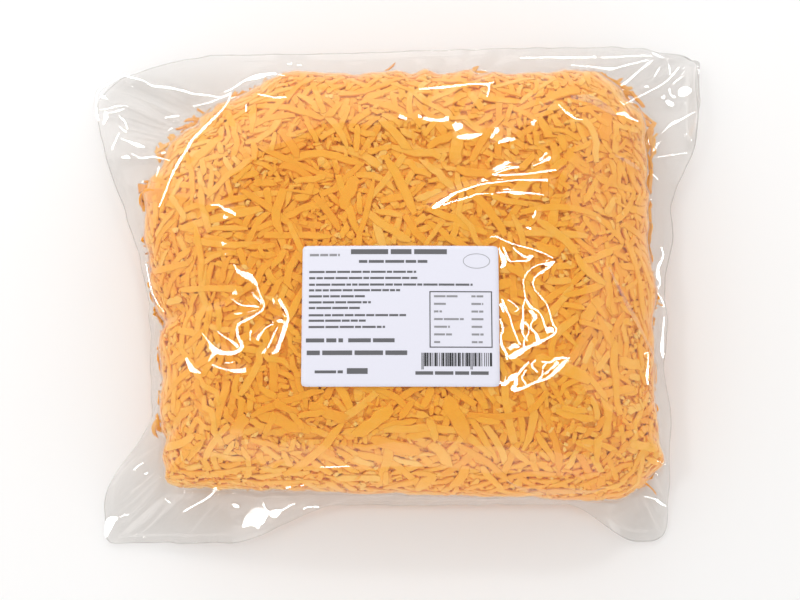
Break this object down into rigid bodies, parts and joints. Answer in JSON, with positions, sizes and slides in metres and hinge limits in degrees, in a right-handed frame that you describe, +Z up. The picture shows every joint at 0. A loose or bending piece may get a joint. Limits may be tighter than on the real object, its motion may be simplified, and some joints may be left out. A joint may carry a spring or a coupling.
{
  "type": "bag of shredded cheddar",
  "caption": "Clear sealed pouch filled with shredded cheddar, lying on its back, with a rectangular paper label on the front and four flat empty corners.",
  "frame": {"origin": "on the surface the pouch lies on, under the middle of its outline", "axes": "+X along the pouch's long side, +Y away from the side the label is read from, +Z up through the label"},
  "size_m": [0.3488, 0.2836, 0.0744],
  "materials": {
    "cheese": "moist shredded cheddar, soft satin",
    "film": "clear creased plastic film, glossy",
    "label": "smooth white thermal label paper",
    "label_print": "dark grey thermal print, matte"
  },
  "bodies": {
    "root": {"bag": "cheese", "label": "label"}
  },
  "joints": []
}
